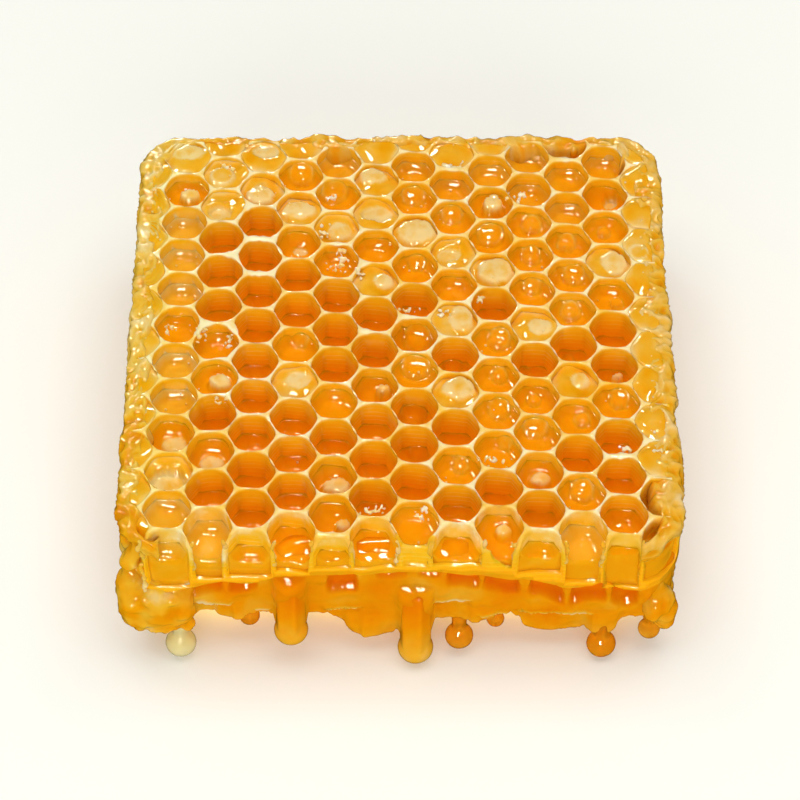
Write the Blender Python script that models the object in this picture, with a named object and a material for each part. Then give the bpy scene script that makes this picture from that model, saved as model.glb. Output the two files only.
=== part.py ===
"""A cut piece of honeycomb: two layers of wax cells back to back, filled with honey to uneven levels.

The piece lies on its lower layer. X runs to the right along its front edge, Y to the back and Z up.
The origin is under the middle of the piece, on the surface that it lies on.
"""

import math
import random

import bmesh
import bpy
from mathutils import Matrix, Vector, noise

# The piece as it was cut, in metres.
WIDTH = 0.0640
DEPTH = 0.0632
HEIGHT = 0.0227
CORNER = 0.0050

# One worker cell, and how the columns of cells lie across the piece.
CELL = 0.0054
WALL = 0.00065
COLUMN = CELL * math.sqrt(3) / 2
ROW = 0.00545
FIRST_CELL = Vector((-0.0263, 0.01767))
ROWS_FALL = -0.0835
LOWER_SHIFT = Vector((0.00156, 0.0027))
UNEVEN = 0.00009

# How full each column's cells are, from the back row to the front:
# f flooded, b brim-full, m a little down, r a dished pool, n low at the near wall, d deep,
# o cut open by the front face, and - past the edge.
FIRST_COLUMN = -1
FILL = (
    "ffffffffffff",
    "ffrmmmrmmnbmo",
    "fffdddrrdndo",
    "ffbdddddddddo",
    "frbnddrbdddo",
    "fmrbrdddrdnno",
    "fbbrbddndddo",
    "fmrbrdnrdddro",
    "fmrbrbdbdrdo",
    "fmrrbdrrrrdno",
    "mmrrrbdrrndo",
    "mmmrrrdbrdro-",
    "mnrbrddrddoo",
    "ffffffffffoo-",
    "ffffffffffff",
)
HONEY_DOWN = {"f": 0.0007, "b": 0.0011, "m": 0.0018, "r": 0.0024, "n": 0.0040, "d": 0.0058, "o": 0.0038}
LOWER_DOWN = (0.0008, 0.0030)
CAPPED_SHARE = 0.28

# The sides, from the surface up: height, how far the front and the other sides are set in, and
# how far the cut cells' walls stand out. The named levels rise and fall along the front.
SIDES = (
    (0.0000, 0.0092, 0.0034, 0.0),
    ("hollow", 0.0062, 0.0016, 0.0002),
    ("lip", 0.0, 0.0010, 0.0005),
    ("tier", 0.0016, 0.0009, 0.0006),
    ("under ledge", 0.0016, 0.0009, 0.0006),
    ("ledge", 0.0000, 0.0002, 0.0003),
    (0.0192, 0.0001, 0.0000, 0.0004),
    (HEIGHT, 0.0010, 0.0012, 0.0001),
)
RAGGED = 0.0007
POINTS_A_SIDE = 36
POINTS_A_CORNER = 3

# The lower layer's ragged lip along the front: X, height, and how far it is set in.
LIP = (
    (-0.0320, 0.0044, 0.0004), (-0.0252, 0.0045, 0.0000), (-0.0235, 0.0068, 0.0022),
    (-0.0150, 0.0066, 0.0024), (-0.0087, 0.0066, 0.0024), (-0.0064, 0.0042, 0.0018),
    (-0.0030, 0.0025, 0.0014), (-0.0008, 0.0032, 0.0016), (0.0047, 0.0048, 0.0018),
    (0.0069, 0.0050, 0.0008), (0.0093, 0.0054, 0.0020), (0.0127, 0.0068, 0.0024),
    (0.0145, 0.0046, 0.0020), (0.0190, 0.0028, 0.0016), (0.0220, 0.0036, 0.0008),
    (0.0240, 0.0040, 0.0004), (0.0265, 0.0064, 0.0022), (0.0291, 0.0060, 0.0006),
    (0.0320, 0.0058, 0.0010),
)
# The midrib's edge along the front: X and height.
LEDGE = (
    (-0.0320, 0.0126), (-0.0284, 0.0124), (-0.0238, 0.0140), (-0.0209, 0.0157), (-0.0181, 0.0149),
    (-0.0124, 0.0168), (-0.0028, 0.0172), (0.0063, 0.0175), (0.0119, 0.0161), (0.0164, 0.0159),
    (0.0188, 0.0138), (0.0226, 0.0155), (0.0253, 0.0131), (0.0273, 0.0137), (0.0320, 0.0152),
)
SIDE_LIP = 0.0052
SIDE_LEDGE = 0.0128
LEDGE_THICK = 0.0008
HOLLOW_SHARE = 0.4

# The honey hanging from the front: X, bottom, top, radius, how far its middle is set in, and how
# deep it is for its width. A bulge lies against the lower layer and has a flat back.
DROPS = (
    (-0.0256, 0.0003, 0.0039, 0.00186, 0.0006, 1.00),
    (-0.0175, 0.0042, 0.0055, 0.00125, 0.0021, 1.00),
    (-0.0126, 0.0039, 0.0150, 0.00205, 0.0004, 0.80),
    (0.0018, 0.0003, 0.0128, 0.00215, 0.0003, 0.75),
    (0.0069, 0.0011, 0.0043, 0.00172, 0.0011, 1.00),
    (0.0111, 0.0040, 0.0052, 0.00110, 0.0019, 1.00),
    (0.0235, 0.0003, 0.0032, 0.00178, 0.0005, 1.00),
    (0.0290, 0.0028, 0.0054, 0.00135, 0.0012, 1.00),
)
BULGES = (3, 4)
BULGE_BACK = 0.0005
NECK = 0.6

# The drops stand out in front of the comb, so the middle of the whole lies in front of the comb's.
MIDDLE = Vector((0.0, -0.0008))


def clear_scene():
    for thing in list(bpy.data.objects):
        bpy.data.objects.remove(thing)


def collection(name):
    group = bpy.data.collections.new(name)
    bpy.context.scene.collection.children.link(group)
    return group


def material(name, colour, roughness, transmission=0.0):
    made = bpy.data.materials.new(name)
    made.use_nodes = True
    shader = made.node_tree.nodes["Principled BSDF"]
    shader.inputs["Base Color"].default_value = (*colour, 1.0)
    shader.inputs["Roughness"].default_value = roughness
    shader.inputs["Metallic"].default_value = 0.0
    shader.inputs["Transmission Weight"].default_value = transmission
    made.diffuse_color = (*colour, 1.0)
    return made


def add_object(bm, name, group, finish):
    mesh = bpy.data.meshes.new(name)
    bm.to_mesh(mesh)
    bm.free()
    thing = bpy.data.objects.new(name, mesh)
    mesh.materials.append(finish)
    group.objects.link(thing)
    return thing


def follow(points, x, value=1):
    """A value at x on a line through points, which are given from left to right."""
    for start, end in zip(points, points[1:]):
        if x <= end[0]:
            share = max(0.0, (x - start[0]) / (end[0] - start[0]))
            return start[value] + (end[value] - start[value]) * share
    return points[-1][value]


def cell_centre(column, step):
    """The middle of the cell that lies step half rows in front of the first row."""
    x = FIRST_CELL.x + COLUMN * column
    y = FIRST_CELL.y + ROWS_FALL * COLUMN * column - ROW / 2 * step
    return Vector((x, y))


def plan(front, others):
    """Points and outward directions round a rectangle with round corners, set in by front and others."""
    half_x = WIDTH / 2 - others
    back = DEPTH / 2 - others
    near = -DEPTH / 2 + front
    middles = (
        (Vector((half_x - CORNER, near + CORNER)), -90),
        (Vector((half_x - CORNER, back - CORNER)), 0),
        (Vector((-half_x + CORNER, back - CORNER)), 90),
        (Vector((-half_x + CORNER, near + CORNER)), 180),
    )
    points = []
    for number, (middle, start) in enumerate(middles):
        for step in range(POINTS_A_CORNER + 1):
            angle = math.radians(start + 90 * step / POINTS_A_CORNER)
            away = Vector((math.cos(angle), math.sin(angle)))
            points.append((middle + away * CORNER, away))
        onward, turn = middles[(number + 1) % 4]
        angle = math.radians(turn)
        away = Vector((math.cos(angle), math.sin(angle)))
        first, last = points[-1][0], onward + away * CORNER
        for step in range(1, POINTS_A_SIDE):
            points.append((first.lerp(last, step / POINTS_A_SIDE), away))
    return points


def level_height(level, x, facing_front):
    """A side level's height: a number, or a name for one that rises and falls along the front."""
    if level == "hollow":
        return HOLLOW_SHARE * level_height("lip", x, facing_front)
    if level == "lip":
        return SIDE_LIP + (follow(LIP, x) - SIDE_LIP) * facing_front
    if level == "tier":
        return (level_height("lip", x, facing_front) + level_height("under ledge", x, facing_front)) / 2
    if level == "under ledge":
        return level_height("ledge", x, facing_front) - LEDGE_THICK
    if level == "ledge":
        return SIDE_LEDGE + (follow(LEDGE, x) - SIDE_LEDGE) * facing_front
    return level


def side_loop(level, front, others, walls):
    """One ring of points round the piece, standing out where the cells' walls meet the side."""
    ring = []
    for point, away in plan(front, others):
        facing_front = max(0.0, -away.y)
        height = level_height(level, point.x, facing_front)
        across = (point.x - FIRST_CELL.x) / COLUMN - 0.5
        along = (point.y - FIRST_CELL.y - ROWS_FALL * point.x) / ROW
        wave = math.cos(2 * math.pi * (across if abs(away.y) > abs(away.x) else along))
        rough = noise.noise(Vector((point.x, point.y, height)) * 420)
        out = walls * wave + (RAGGED * rough if walls else 0.0)
        if level == "lip":
            out -= follow(LIP, point.x, 2) * facing_front
        ring.append(Vector((*(point + away * out), height)))
    return ring


def block():
    """The whole piece before its cells are opened: one ring of points drawn up through the levels."""
    rings = [side_loop(*level) for level in SIDES]
    bm = bmesh.new()
    bmesh.ops.create_circle(bm, cap_ends=True, segments=len(rings[0]), radius=WIDTH / 2)
    turn = bm.verts.layers.int.new("place in the ring")
    bm.faces.ensure_lookup_table()
    cap = bm.faces[0]
    for number, vert in enumerate(cap.verts):
        vert[turn] = number
        vert.co = rings[0][number]
    for ring in rings[1:]:
        grown = bmesh.ops.extrude_face_region(bm, geom=[cap])
        if ring is not rings[1]:
            bmesh.ops.delete(bm, geom=[cap], context="FACES_ONLY")
        cap = next(part for part in grown["geom"] if isinstance(part, bmesh.types.BMFace))
        for vert in cap.verts:
            vert.co = ring[vert[turn]]
    bmesh.ops.recalc_face_normals(bm, faces=bm.faces)
    return bm


def hexagon(bm, centre, low, high, size):
    """A six-sided prism with corners at its left and right, sheared as the rows of cells are."""
    reach = size / math.sqrt(3)
    made = bmesh.ops.create_cone(
        bm, cap_ends=True, segments=6, radius1=reach, radius2=reach, depth=high - low,
        matrix=Matrix.Rotation(math.radians(90), 4, "Z"),
    )
    for vert in made["verts"]:
        vert.co.y += ROWS_FALL * vert.co.x
        vert.co += Vector((centre.x, centre.y, (low + high) / 2))


def upper_cells():
    chance = random.Random(11)
    bm = bmesh.new()
    for index, letters in enumerate(FILL):
        column = FIRST_COLUMN + index
        for row, letter in enumerate(letters):
            step = 2 * row - (6 if column % 2 == 0 else 5)
            drift = Vector((chance.uniform(-1, 1), chance.uniform(-1, 1))) * UNEVEN
            size = CELL - WALL + chance.uniform(-1, 1) * UNEVEN
            down = HONEY_DOWN.get(letter, 0) * chance.uniform(0.9, 1.1)
            centre = cell_centre(column, step) + drift
            outside = abs(centre.x) > WIDTH / 2 - WALL or centre.y > DEPTH / 2 - WALL
            if letter == "-" or outside:
                continue
            hexagon(bm, centre, HEIGHT - down, HEIGHT + CELL, size)
    return bm


def lower_cells():
    """The lower layer's cells, which open downwards and lie half a cell aside from the upper ones.

    Some are capped with wax, and so is the one under the middle, where the piece rests.
    """
    chance = random.Random(5)
    bm = bmesh.new()
    keep_in = SIDES[0][2] + CELL * 0.7
    near_edge = -DEPTH / 2 + SIDES[0][1] + CELL * 0.6
    for column in range(-1, 14):
        for step in range(-6, 19):
            if (column + step) % 2:
                continue
            centre = cell_centre(column, step) + LOWER_SHIFT
            down = chance.uniform(*LOWER_DOWN)
            capped = chance.random() < CAPPED_SHARE or (centre - MIDDLE).length < CELL * 0.6
            inside = abs(centre.x) < WIDTH / 2 - keep_in and near_edge < centre.y < DEPTH / 2 - keep_in
            if inside and not capped:
                hexagon(bm, centre, -CELL, down, CELL - WALL)
    return bm


def cut(thing, cutter, name):
    modifier = thing.modifiers.new(name, "BOOLEAN")
    modifier.operation = "DIFFERENCE"
    modifier.object = cutter
    cutter.hide_render = True
    cutter.display_type = "WIRE"


def drop(x, bottom, top, radius, set_in, deep, bulge):
    """A hanging drop: a ball below, drawn up into a neck, or a flat-backed bulge on the front face."""
    bm = bmesh.new()
    bmesh.ops.create_uvsphere(bm, u_segments=12, v_segments=9, radius=radius)
    for vert in bm.verts:
        out = math.hypot(vert.co.x, vert.co.y)
        if vert.co.z > 0:
            if out > radius * 0.01 and not bulge:
                vert.co.xy *= max(1.0, NECK * radius / out)
            vert.co.z *= (top - bottom - radius) / radius
        vert.co.y *= deep
    if bulge:
        geometry = bm.verts[:] + bm.edges[:] + bm.faces[:]
        bmesh.ops.bisect_plane(
            bm, geom=geometry, dist=1e-6, plane_co=(0, BULGE_BACK, 0), plane_no=(0, 1, 0),
            clear_outer=True,
        )
        rim = [edge for edge in bm.edges if edge.is_boundary]
        bmesh.ops.contextual_create(bm, geom=rim)
        bmesh.ops.recalc_face_normals(bm, faces=bm.faces)
    bmesh.ops.translate(bm, verts=bm.verts, vec=(x, -DEPTH / 2 + set_in, bottom + radius))
    return bm


def build():
    clear_scene()
    piece = collection("honeycomb_piece")
    cutters = collection("cutters")
    wax = material("comb_wax", (0.83, 0.42, 0.06), 0.35, 0.2)
    honey = material("honey", (0.86, 0.36, 0.02), 0.08, 0.6)

    comb = add_object(block(), "comb", piece, wax)
    cut(comb, add_object(upper_cells(), "upper_cells", cutters, honey), "open_upper_cells")
    cut(comb, add_object(lower_cells(), "lower_cells", cutters, honey), "open_lower_cells")
    for number, sizes in enumerate(DROPS, start=1):
        hanging = add_object(drop(*sizes, bulge=number in BULGES), f"drop_{number}", piece, honey)
        hanging.data.shade_smooth()

    to_middle = Matrix.Translation((-MIDDLE.x, -MIDDLE.y, 0))
    for thing in bpy.data.objects:
        thing.data.transform(to_middle)


build()
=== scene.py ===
"""The looks of a cut piece of honeycomb: two layers of wax cells, the honey in them and what drips."""

import math
import random

import bmesh
import bpy
from mathutils import Matrix, Vector, noise


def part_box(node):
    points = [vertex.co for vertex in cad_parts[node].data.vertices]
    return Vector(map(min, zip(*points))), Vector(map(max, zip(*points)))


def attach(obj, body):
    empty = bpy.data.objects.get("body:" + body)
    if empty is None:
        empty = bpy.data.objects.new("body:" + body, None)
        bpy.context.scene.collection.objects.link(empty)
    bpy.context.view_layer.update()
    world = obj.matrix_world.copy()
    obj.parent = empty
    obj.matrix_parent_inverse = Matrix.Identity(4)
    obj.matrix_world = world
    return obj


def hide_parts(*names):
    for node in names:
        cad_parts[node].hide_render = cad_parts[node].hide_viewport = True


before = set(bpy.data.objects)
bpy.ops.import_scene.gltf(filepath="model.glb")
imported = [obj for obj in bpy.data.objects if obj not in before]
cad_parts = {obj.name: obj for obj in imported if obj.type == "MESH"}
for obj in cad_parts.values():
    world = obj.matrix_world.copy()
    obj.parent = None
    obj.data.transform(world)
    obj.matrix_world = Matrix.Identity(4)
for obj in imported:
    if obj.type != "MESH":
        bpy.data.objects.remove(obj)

# Without a seed of its own, noise_vector gives another result in each run.
noise.seed_set(7)

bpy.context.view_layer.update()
COMB_LOW, COMB_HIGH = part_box("comb")
TOP = COMB_HIGH.z
FRONT = COMB_LOW.y + 0.0005
MM = 0.001
TAN_30 = 0.577

# The comb's own measures, as the solid has them.
WIDTH = 0.0640
DEPTH = 0.0632
CORNER = 0.0050
CELL = 0.0054
COLUMN = CELL * math.sqrt(3) / 2
ROW = 0.00545
FIRST_CELL = Vector((-0.0263, 0.01847))
ROWS_FALL = -0.0835
LOWER_SHIFT = Vector((0.0005, 0.0027))
MIDDLE_Y = 0.0008
CUT = MIDDLE_Y - DEPTH / 2
FIRST_COLUMN = -1
FILL = (
    "ffffffffffff",
    "ffrmmmrmmnbmo",
    "fffdddrrdndo",
    "ffbdddddddddo",
    "frbnddrbdddo",
    "fmrbrdddrdnno",
    "fbbrbddndddo",
    "fmrbrdnrdddro",
    "fmrbrbdbdrdo",
    "fmrrbdrrrrdno",
    "mmrrrbdrrndo",
    "mmmrrrdbrdro-",
    "mnrbrddrddoo",
    "ffffffffffoo-",
    "ffffffffffff",
)
# The ragged lip of the lower layer along the front: X, height.
LIP = (
    (-0.032, 0.0044), (-0.0252, 0.0045), (-0.0235, 0.0068), (-0.015, 0.0066), (-0.0087, 0.0066),
    (-0.0064, 0.0042), (-0.003, 0.0025), (-0.0008, 0.0032), (0.0047, 0.0048), (0.0069, 0.005),
    (0.0093, 0.0054), (0.0127, 0.0068), (0.0145, 0.0046), (0.019, 0.0028), (0.022, 0.0036), (0.024, 0.004),
    (0.0265, 0.0064), (0.0291, 0.006), (0.032, 0.0058),
)
# The edge of the midrib along the front: X, height.
LEDGE = (
    (-0.032, 0.0126), (-0.0284, 0.0124), (-0.0238, 0.014), (-0.0209, 0.0157), (-0.0181, 0.0149),
    (-0.0124, 0.0168), (-0.0028, 0.0172), (0.0063, 0.0175), (0.0119, 0.0161), (0.0164, 0.0159),
    (0.0188, 0.0138), (0.0226, 0.0155), (0.0253, 0.0131), (0.0273, 0.0137), (0.032, 0.0152),
)
# The midrib's height away from the front.
SIDE_LEDGE = 0.0128

# How a cell is drawn: steps a side, reach of its corners, and the reach of the circle they round to.
SIDE_STEPS = 6
REACH = CELL / math.sqrt(3)
ROUND_REACH = CELL * 0.525
# The wall from the rim down: share of the way down, millimetres down, inset from the middle of the
# wall, rounding of the corners.
WALL_PROFILE = (
    (0.0, 0.015, 0.045, 0.45), (0.0, 0.07, 0.085, 0.66), (0.0, 0.2, 0.125, 0.8), (0.0, 0.45, 0.15, 0.78),
    (0.0, 0.9, 0.16, 0.55), (0.0, 1.8, 0.165, 0.25), (0.5, 0.0, 0.17, 0.15), (1.0, 0.0, 0.24, 0.35),
)
# The tone of the wall, from millimetres below its rim down.
WALL_TONE = (
    (0.0, 0.84), (0.08, 0.86), (0.20, 0.48), (0.38, 0.12), (0.9, -0.05), (1.8, -0.15), (3.0, -0.4),
    (4.5, -0.75), (6.5, -1.0),
)
# The palest tone that the upper wax may have, from millimetres below the top down.
DEEP_TONE = ((3.4, 1.0), (4.4, -0.35), (6.2, -1.0))
# How much paler the corners of the cells are.
CORNER_TONE = 0.5
# Where the rim has spread into a thick whitish crust: column, step, X and Y off the cell's middle,
# reach, and how much wider the wall is, in millimetres.
CRUSTS = (
    (2, 2, 0.0, 2.6, 1.5, 0.55), (1, 3, 1.4, 1.9, 1.3, 0.5), (2, 2, 0.0, -2.6, 1.4, 0.5),
    (2, 2, 2.2, 0.8, 1.0, 0.35), (1, 1, 1.8, -1.8, 1.1, 0.35), (1, -1, 1.2, -1.6, 1.2, 0.3),
    (1, 7, -1.8, 1.4, 1.3, 0.5), (1, 7, 1.6, 1.6, 1.2, 0.45), (1, 7, 1.4, -1.6, 1.0, 0.35),
    (0, 6, 1.6, -1.4, 1.1, 0.35), (2, 12, 1.9, 1.2, 1.0, 0.35), (2, 0, -1.6, 2.2, 1.0, 0.3),
    (5, 3, -1.6, 1.9, 1.0, 0.35), (5, 5, -1.0, -2.2, 1.0, 0.3), (6, 4, -0.6, -2.3, 1.2, 0.35),
    (7, -5, 0.0, -2.4, 1.5, 0.55), (10, -4, 0.0, 2.5, 1.3, 0.45), (8, 4, -2.0, 0.8, 1.0, 0.4),
    (11, 11, 0.2, -2.4, 1.2, 0.45), (4, 2, 0.0, 2.4, 0.9, 0.3), (12, 12, -0.8, 1.6, 1.2, 0.4),
    (4, 18, 0.0, 2.4, 1.3, 0.35), (8, 18, 0.4, 2.4, 1.4, 0.45),
)
# Flat spots on the honey with a painted reflection of a bright light on them: column, step, X and Y off the
# cell's middle as it is seen from above the front, half width, half depth, and how deep in the cell it lies,
# all in millimetres.
PAINTED_REFLECTIONS = (
    (6, 0, 0.1, -0.1, 2.4, 2.2, 0.5), (8, 2, 0.3, -0.3, 2.3, 2.2, 0.6), (7, 5, 0.7, -0.1, 1.6, 2.1, 0.6),
    (9, 5, 0.7, -0.8, 1.5, 1.4, 0.8), (11, 1, 0.7, -0.6, 1.7, 2.2, 0.7), (8, -2, 0.4, -0.1, 1.3, 1.3, 0.9),
    (10, -6, 0.1, 1.0, 2.2, 1.3, 0.4), (7, 1, -0.5, -1.1, 1.6, 1.0, 1.2), (1, 9, 0.6, -0.8, 1.5, 1.2, 1.2),
    (3, 9, 0.5, -0.5, 1.6, 1.3, 1.2), (5, 9, 1.0, -0.7, 0.9, 0.7, 2.2), (0, 14, -0.2, -2.4, 2.1, 1.7, 2.5),
    (0, 12, 0.2, -2.3, 1.7, 1.3, 3.0), (1, 13, 0.0, -2.3, 1.6, 1.2, 3.0),
    (4, 14, 0.4, -1.95, 1.8, 1.4, 2.6), (4, 16, 1.2, -1.9, 0.9, 0.8, 2.6),
    (9, 13, 0.2, -1.6, 1.3, 1.0, 3.0), (8, 16, 0.5, -1.0, 1.0, 0.8, 2.5), (11, 7, 0.6, -1.9, 0.8, 0.6, 4.0),
    (3, 1, 0.2, -1.9, 1.0, 0.7, 3.5), (11, -3, 0.9, -1.9, 1.0, 0.8, 4.0),
    (1, -1, -0.4, -2.0, 1.5, 1.2, 1.2), (2, -2, -0.3, -1.2, 1.9, 1.6, 0.7),
    (5, -1, 0.2, -0.7, 2.0, 1.6, 1.2), (3, -1, 0.0, -0.5, 2.1, 1.5, 0.5), (4, 0, 0.3, -0.9, 1.5, 1.5, 1.0),
    (7, 9, 0.4, 0.2, 2.1, 1.8, 0.6), (10, 8, 0.7, -0.3, 1.3, 1.3, 1.0), (5, 3, 1.0, -0.4, 1.4, 1.3, 0.8),
    (5, -3, -0.4, 0.4, 1.8, 1.5, 0.5), (0, -4, 0.0, 0.6, 2.2, 1.5, 0.3), (2, -4, 0.3, 0.3, 1.9, 1.2, 0.5),
    (0, -2, 0.3, -0.9, 1.3, 1.0, 1.2),
)
# Bubbles under the skin of the honey, in the same terms: the last value is the radius.
BUBBLES = (
    (6, -2, -0.1, 0.3, 1.5), (7, -1, -0.1, 0.1, 1.3), (9, -1, 0.4, -0.9, 1.2), (9, 1, 0.2, -0.5, 1.1),
    (10, 0, -0.1, -0.7, 1.1), (10, 2, 0.6, -0.4, 1.3), (11, -1, -0.1, -1.0, 0.8), (10, 4, -0.1, -0.9, 1.2),
    (11, 3, 0.8, -1.6, 0.8), (8, 0, 0.0, 0.0, 1.6), (12, 0, -0.9, -1.6, 1.2), (6, 2, 0.3, 0.0, 1.0),
    (9, 3, 0.1, 0.0, 1.0), (8, 8, 0.5, -0.6, 0.9), (9, 9, -0.1, -1.0, 0.8), (8, 10, 0.4, -0.3, 1.2),
    (9, 11, -0.1, 0.4, 1.5), (8, 12, 1.1, 0.3, 0.9), (7, 13, 0.5, -0.7, 0.9), (10, 14, 0.2, -0.6, 1.3),
    (11, 9, 0.5, -0.3, 1.1), (6, 6, 0.4, -0.9, 1.6), (6, 8, 0.2, 0.1, 1.7), (6, 10, -0.2, 0.3, 1.7),
    (6, 12, 0.6, 0.3, 1.2), (9, 7, -0.6, -0.4, 0.5), (10, 6, -0.3, -0.7, 0.7), (7, 7, -0.2, -0.2, 1.0),
    (10, 10, 0.8, -0.9, 0.9), (8, 6, 0.6, -0.6, 1.3), (3, -3, 0.0, -0.3, 1.5), (4, -2, -0.6, 0.0, 1.6),
    (1, -3, -0.4, -1.0, 1.5), (3, 7, 0.6, 0.2, 0.9), (2, -2, -0.3, -0.4, 0.5), (8, -2, 0.5, -0.5, 0.6),
)
# How deep the honey stands in millimetres, and its tone. f full, b bulging, m middling, r fairly low,
# n low and tilted, d deep, o opened by the front cut.
HONEY_DOWN = {"f": 0.5, "b": 1.1, "m": 3.0, "r": 2.7, "n": 3.8, "d": 5.8, "o": 4.3}
POOL_TONE = {"f": 0.20, "b": 0.20, "m": 0.00, "r": -0.45, "n": -0.55, "d": -0.75, "o": -0.35}
# How far the honey's edge lies from the middle of the wall, and how round its corners are.
HONEY_INSET = 0.14 * MM
HONEY_ROUNDING = 0.45
# How far the rims and the floors of the upper cells lie below the top and above the midrib.
RIM_DOWN = 0.00030
FLOOR_UP = 0.0006
# The flat spots with a painted reflection and the bubbles are placed where they seem to lie on the rims'
# plane. Each millimetre of depth puts them this much farther back.
SEEN_SHIFT = 0.81
# The cells that the front cut opened, by column from 0: how far down their walls are pale, in
# millimetres, and the tone of the honey in them.
CHANNELS = (
    (2.0, 0.4), (3.6, 0.45), (1.3, -0.1), (1.2, -0.4), (2.0, -0.15), (1.6, -0.4), (0.9, -0.6), (2.6, -0.45),
    (2.0, -0.1), (3.0, -0.05), (1.7, 0.4), (2.0, -0.35), (1.3, -0.45),
)


# ---------------------------------------------------------------- helpers

def follow(points, x):
    """The value at x on a line through points, which are given from left to right."""
    for start, end in zip(points, points[1:]):
        if x <= end[0]:
            share = max(0.0, (x - start[0]) / (end[0] - start[0]))
            return start[1] + (end[1] - start[1]) * share
    return points[-1][1]


def verts_of(made):
    """The points among what a bmesh operator made."""
    return [part for part in made["geom"] if isinstance(part, bmesh.types.BMVert)]


def clamp(value, low=-1.0):
    return min(1.0, max(low, value))


def ease(value):
    value = clamp(value, 0.0)
    return value * value * (3 - 2 * value)


def bell(off, width):
    """1 at the middle of a line or ring, falling off to both sides."""
    return math.exp(-((off / width) ** 2))


def ripple(x, y, z, scale=1.0):
    """Noise from -1 to 1 at a place."""
    return noise.noise(Vector((x, y, z)) * scale)


def cell_middle(column, step):
    """The middle of the cell that lies step half rows in front of the first row."""
    x = FIRST_CELL.x + COLUMN * column
    y = FIRST_CELL.y + ROWS_FALL * COLUMN * column - ROW / 2 * step
    return Vector((x, y))


def fill_table():
    fills = {}
    for index, letters in enumerate(FILL):
        column = FIRST_COLUMN + index
        for row, letter in enumerate(letters):
            fills[column, 2 * row - (6 if column % 2 == 0 else 5)] = letter
    return fills


FILLS = fill_table()


def cells_within(first_column, shift):
    """Every cell of a layer that the cut piece takes in, whole or in part: column, step, middle."""
    for column in range(first_column, 15):
        for step in range(-14, 26):
            if (column + step) % 2:
                continue
            middle = cell_middle(column, step) + shift
            if abs(middle.x) < WIDTH / 2 + REACH and abs(middle.y - MIDDLE_Y) < DEPTH / 2 + REACH:
                yield column, step, middle


def upper_places():
    """The upper layer's cells, with the letter of what is in each."""
    for column, step, middle in cells_within(-2, Vector((0, 0))):
        letter = FILLS.get((column, step), "o" if middle.y < -0.02 else "f")
        yield column, step, middle, "o" if letter == "-" else letter


def lower_middles():
    return [middle for _, _, middle in cells_within(-3, LOWER_SHIFT)]


def uneven(point):
    """Where a point of the ideal pattern lies in this comb."""
    slow = noise.noise_vector(Vector((point.x, point.y, 0.3)) * 90)
    quick = noise.noise_vector(Vector((point.x, point.y, 4.1)) * 330)
    fine = noise.noise_vector(Vector((point.x, point.y, 7.7)) * 900)
    shift = slow * 0.00022 + quick * 0.00016 + fine * 0.00006
    sag = 0.0009 * ease((-0.0195 - point.x) / 0.0065)
    return Vector((point.x + shift.x, point.y + shift.y - sag, point.z))


def front_share(y, over):
    """1 at the front face, falling to 0 behind it."""
    return 1 - ease((y - FRONT) / over)


def crust(x, y):
    """How much wider the walls are here, in millimetres, where the rim has a crust."""
    wide = 0.0
    for column, step, right, back, reach, more in CRUSTS:
        spot = cell_middle(column, step)
        off = math.hypot(x - spot.x - right * MM, y - spot.y - back * MM) / (reach * MM)
        if off < 2.5:
            uneven_reach = 1 + 0.9 * ripple(x, y, 2.0, 1100)
            wide = max(wide, 0.75 * more * math.exp(-off * off) * uneven_reach)
    return wide


def midrib(x, y):
    """The height of the wall between the two layers, which ends at the ledge in front."""
    return SIDE_LEDGE + (follow(LEDGE, x) - SIDE_LEDGE) * front_share(y, 0.010)


def rim_height(x, y):
    rough = ripple(x, y, 1.7, 210) * 0.00022
    broad = ripple(x, y, 6.2, 60) * 0.00020
    fine = ripple(x, y, 3.2, 700) * 0.00009
    return TOP - RIM_DOWN + rough + broad + fine


def lower_rim(x, y):
    """The lowest reach of the lower layer: on the table inside, and up to the ragged lip in front."""
    lip = follow(LIP, x)
    inward = (y - FRONT) / 0.0092
    return 0.0002 + (lip - 0.0002) * (1 - ease(inward))


# ---------------------------------------------------------------- cells

def draw_cell(bm, middle):
    """One six-sided face with corners at its left and right, sheared as the rows are."""
    shear = Matrix.Identity(4)
    shear[1][0] = ROWS_FALL
    shear[1][1] = ROW / CELL
    place = Matrix.Translation((middle.x, middle.y, 0)) @ shear @ Matrix.Rotation(math.radians(90), 4, "Z")
    bmesh.ops.create_circle(bm, cap_ends=True, segments=6, radius=REACH, matrix=place)


def draw_cells(middles, joined, side_steps):
    """The cells' faces side by side, with points along each side, in their uneven places."""
    bm = bmesh.new()
    for middle in middles:
        draw_cell(bm, middle)
    if joined:
        bmesh.ops.remove_doubles(bm, verts=bm.verts, dist=REACH / 20)
    corner = bm.verts.layers.float.new("corner")
    corners = len(bm.verts)
    bmesh.ops.subdivide_edges(bm, edges=bm.edges, cuts=side_steps - 1)
    for number, vert in enumerate(bm.verts):
        vert[corner] = 1.0 if number < corners else 0.0
    for vert in bm.verts:
        vert.co = uneven(vert.co)
    bmesh.ops.recalc_face_normals(bm, faces=bm.faces)
    for face in bm.faces:
        if face.normal.z < 0:
            face.normal_flip()
    return bm


def ring_point(outline, middle, inset, rounding):
    """A point of a cell's wall: the outline drawn in by inset, its corners rounded."""
    away = outline - middle
    far = away.length
    near = far * (1 - rounding) + ROUND_REACH * rounding
    return middle + away * (near / far) * (1 - 2 * inset / CELL)


def remember(bm):
    """Vertex layers that keep each ring's outline point and its cell's middle."""
    return bm.verts.layers.float_vector.new("outline"), bm.verts.layers.float_vector.new("middle")


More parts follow.
